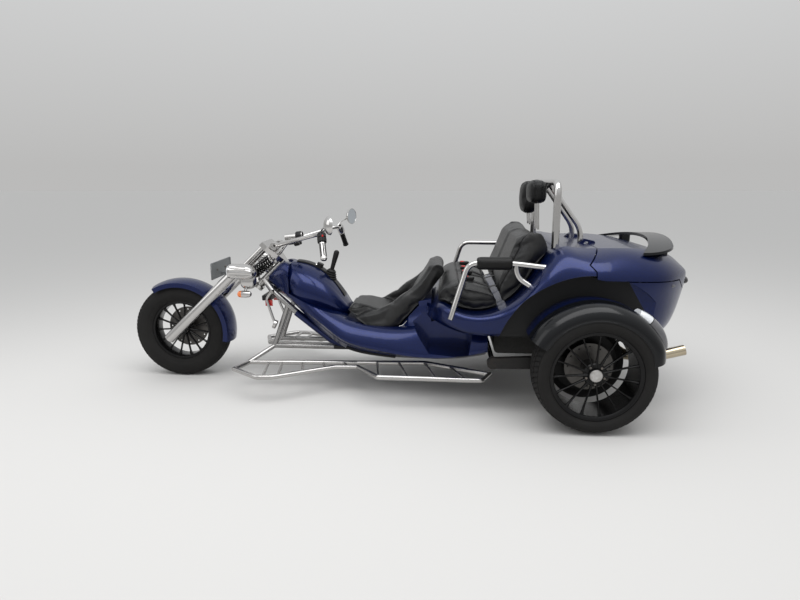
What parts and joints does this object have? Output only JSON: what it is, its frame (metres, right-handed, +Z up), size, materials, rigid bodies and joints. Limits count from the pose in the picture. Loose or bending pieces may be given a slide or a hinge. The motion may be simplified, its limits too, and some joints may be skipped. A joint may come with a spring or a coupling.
{
  "type": "motorized trike",
  "caption": "Open three-wheeled motor vehicle: long raked fork, low driver's bucket seat, passenger bench and boot between wide rear wheels.",
  "frame": {"origin": "on the ground, below the middle of the overall length and width", "axes": "+X forwards, +Y to the vehicle's left, +Z up"},
  "size_m": [3.5549, 1.692, 1.3149],
  "materials": {
    "body_blue": "deep metallic blue lacquer, clear coat",
    "black_gloss": "glossy black",
    "wing_dark": "dark grey metallic lacquer",
    "black_plastic": "satin black moulding",
    "seat_leather": "black grained leather, satin sheen",
    "chrome": "polished chrome",
    "exhaust_chrome": "chrome tinged gold by heat",
    "tyre": "dusty black tyre",
    "wheel_black": "gloss black alloy, worn bright on the edges",
    "disc_steel": "machined brake disc",
    "axle_steel": "black painted steel, dusty",
    "frame_silver": "silver painted steel tube",
    "engine_grey": "cast, dull and dusty",
    "indicator_orange": "orange lens",
    "reflector_red": "red and orange reflector",
    "tail_lens": "clear and red lens",
    "plate_blank": "blank plate",
    "rubber": "black rubber"
  },
  "bodies": {
    "chassis": {"front_body": "body_blue", "rear_body": "body_blue", "tank": "body_blue", "tank_console": "black_plastic", "driver_seat": "seat_leather", "passenger_seat": "seat_leather", "passenger_back": "seat_leather", "headrests": "seat_leather", "armrests": "chrome", "armrest_pad": "seat_leather", "roll_bar": "chrome", "fender_inner": "body_blue", "fender_band": "black_gloss", "tail_lamps": "tail_lens", "exhausts": "exhaust_chrome", "foot_pedals": "chrome", "front_reflector": "reflector_red", "frame": "frame_silver", "footboards": "chrome", "engine_block": "engine_grey", "rear_axle": "axle_steel", "gear_lever": "black_plastic"},
    "boot_lid": {"boot_lid": "body_blue", "wing": "wing_dark"},
    "steering": {"fork_legs": "chrome", "fork_yokes": "chrome", "spring_strut": "chrome", "handlebar": "chrome", "grips": "rubber", "mirrors": "chrome", "gauge": "chrome", "headlamps": "chrome", "indicators": "indicator_orange", "number_plate": "plate_blank", "front_fender": "body_blue", "front_caliper": "disc_steel"},
    "front_wheel": {"front_tyre": "tyre", "front_rim": "wheel_black", "front_disc": "disc_steel"},
    "rear_wheel_left": {"rear_tyre_left": "tyre", "rear_rim_left": "wheel_black", "rear_disc_left": "disc_steel"},
    "rear_wheel_right": {"rear_tyre_right": "tyre", "rear_rim_right": "wheel_black", "rear_disc_right": "disc_steel"}
  },
  "joints": [
    {"name": "steering", "type": "hinge", "parent": "chassis", "child": "steering", "pos_m": [0.85014, 0, 0.69111], "axis": [-0.7242, 0, 0.6896], "range_deg": [-32, 32]},
    {"name": "front_wheel", "type": "hinge", "parent": "steering", "child": "front_wheel", "pos_m": [1.4605, 0, 0.317], "axis": [0, 1, 0], "continuous": true},
    {"name": "rear_wheel_left", "type": "hinge", "parent": "chassis", "child": "rear_wheel_left", "pos_m": [-1.0875, 0.725, 0.32], "axis": [0, 1, 0], "continuous": true},
    {"name": "rear_wheel_right", "type": "hinge", "parent": "chassis", "child": "rear_wheel_right", "pos_m": [-1.0875, -0.725, 0.32], "axis": [0, 1, 0], "continuous": true},
    {"name": "boot_lid", "type": "hinge", "parent": "chassis", "child": "boot_lid", "pos_m": [-1.1325, 0, 0.957], "axis": [0, 1, 0], "range_deg": [0, 60]}
  ]
}
